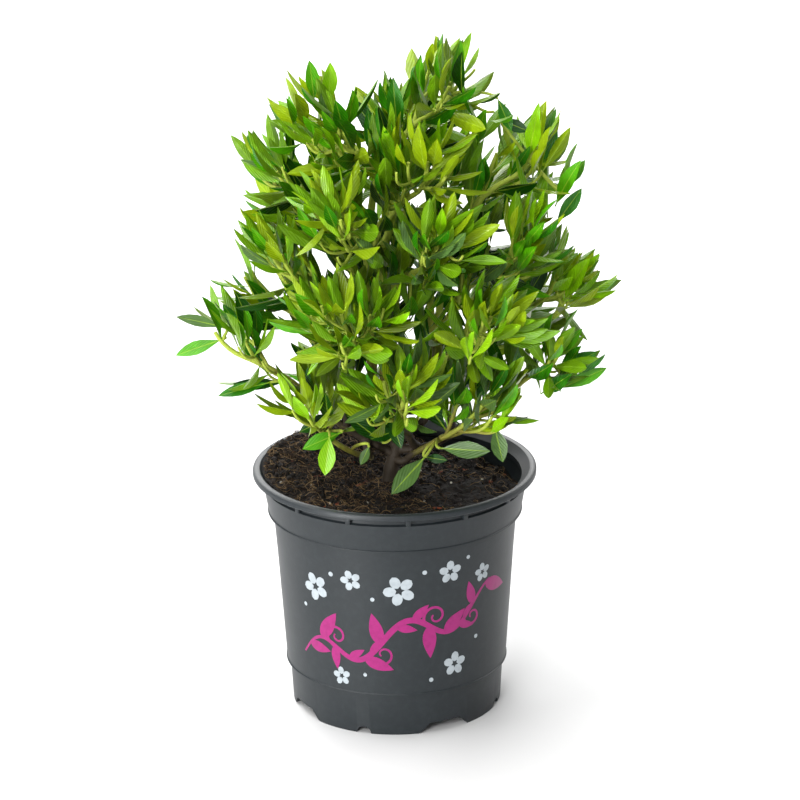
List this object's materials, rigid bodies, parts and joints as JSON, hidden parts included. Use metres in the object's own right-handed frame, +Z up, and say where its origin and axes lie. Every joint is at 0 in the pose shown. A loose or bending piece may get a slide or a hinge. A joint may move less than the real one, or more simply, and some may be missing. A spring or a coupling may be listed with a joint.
{
  "type": "potted dwarf rhododendron",
  "caption": "Compact evergreen shrub with narrow upright leaves, in a round plastic nursery pot filled with peat soil.",
  "frame": {"origin": "on the pot's axis, at the centre of its flat underside and in the plane that it stands on", "axes": "+Z up along the pot's axis, -Y to the front that the picture shows, +X to the right seen from the front"},
  "size_m": [0.2632, 0.2183, 0.4104],
  "materials": {
    "pot": "satin",
    "soil": "matte",
    "trunk": "matte",
    "boughs": "matte",
    "leaves": "satin"
  },
  "bodies": {
    "root": {"bough_back_left_high": "boughs", "bough_back_left_low": "boughs", "bough_back_middle": "boughs", "bough_back_right_high": "boughs", "bough_back_right_low": "boughs", "bough_back_top": "boughs", "bough_front_left": "boughs", "bough_front_left_high": "boughs", "bough_front_low": "boughs", "bough_front_right": "boughs", "bough_front_right_high": "boughs", "bough_left_foot": "boughs", "bough_left_low": "boughs", "bough_left_low_outer": "boughs", "bough_left_middle": "boughs", "bough_left_shoulder": "boughs", "bough_right_foot": "boughs", "bough_right_low_arm": "boughs", "bough_right_low_outer": "boughs", "bough_right_middle": "boughs", "bough_right_peak": "boughs", "bough_top": "boughs", "bough_upper_left": "boughs", "bough_upper_middle": "boughs", "foliage_back_left_high": "leaves", "foliage_back_left_low": "leaves", "foliage_back_middle": "leaves", "foliage_back_right_high": "leaves", "foliage_back_right_low": "leaves", "foliage_back_top": "leaves", "foliage_front_left": "leaves", "foliage_front_left_high": "leaves", "foliage_front_low": "leaves", "foliage_front_right": "leaves", "foliage_front_right_high": "leaves", "foliage_left_foot": "leaves", "foliage_left_low": "leaves", "foliage_left_low_outer": "leaves", "foliage_left_middle": "leaves", "foliage_left_shoulder": "leaves", "foliage_right_foot": "leaves", "foliage_right_low_arm": "leaves", "foliage_right_low_outer": "leaves", "foliage_right_middle": "leaves", "foliage_right_peak": "leaves", "foliage_top": "leaves", "foliage_upper_left": "leaves", "foliage_upper_middle": "leaves", "pot": "pot", "soil": "soil", "trunk": "trunk"}
  },
  "joints": []
}
